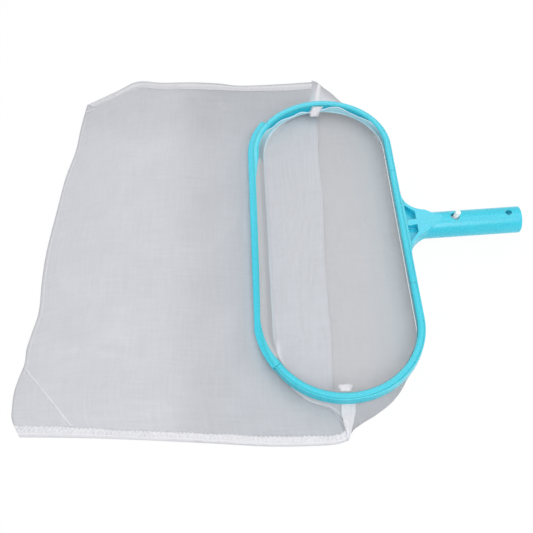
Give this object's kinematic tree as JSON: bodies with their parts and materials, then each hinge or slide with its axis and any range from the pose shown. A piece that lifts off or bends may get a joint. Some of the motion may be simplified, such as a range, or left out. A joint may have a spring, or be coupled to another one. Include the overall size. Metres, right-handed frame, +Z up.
{
  "type": "leaf skimmer net",
  "caption": "Leaf skimmer net for pools: oblong plastic ring with a scooping lip, a deep flat-lying bag of fine mesh and a short pole spigot with sprung buttons.",
  "frame": {"origin": "middle of the spigot's open end, on the spigot's axis", "axes": "+X along the spigot, level, away from the net; +Z up from the floor that the net lies on; +Y across the net, to the left when looking along +X"},
  "size_m": [0.5232, 0.5054, 0.0423],
  "materials": {
    "frame_plastic": "semi-gloss moulded, turquoise",
    "lip_plastic": "semi-gloss moulded, turquoise",
    "strip_plastic": "semi-gloss moulded, turquoise",
    "clip_plastic": "smooth, off-white",
    "cord": "smooth twisted cord",
    "hem_cloth": "thin woven tape",
    "mesh": "fine knitted mesh, pale grey",
    "seam_thread": "overlocked thread, off-white"
  },
  "bodies": {
    "net": {"ring_frame": "frame_plastic", "pole_socket": "frame_plastic", "front_lip_strip": "lip_plastic", "far_clamp_strip": "strip_plastic", "near_clamp_strip": "strip_plastic", "handle_side_clamp_strip": "strip_plastic", "clip_fold": "clip_plastic", "hem_cord": "cord", "bag_hem": "hem_cloth", "far_seam_tab": "seam_thread", "near_seam_tab": "seam_thread", "bag_lower_layer": "mesh", "bag_upper_layer": "mesh", "mouth_fall_left": "mesh", "mouth_fall_right": "mesh", "far_side_seam": "seam_thread", "near_side_seam": "seam_thread", "far_corner_dart": "seam_thread", "near_corner_dart": "seam_thread"},
    "upper_button": {"upper_clip_leg": "clip_plastic"},
    "lower_button": {"lower_clip_leg": "clip_plastic"}
  },
  "joints": [
    {"name": "upper_button_press", "type": "hinge", "parent": "net", "child": "upper_button", "pos_m": [-0.04153, 0, -0.0022], "axis": [0, -1, 0], "range_deg": [0, 12.5], "stiffness_Nm_per_rad": 1, "springref_deg": -5.73},
    {"name": "lower_button_press", "type": "hinge", "parent": "net", "child": "lower_button", "pos_m": [-0.04153, 0, -0.0022], "axis": [0, 1, 0], "range_deg": [0, 12.5], "stiffness_Nm_per_rad": 1, "springref_deg": -5.73}
  ]
}
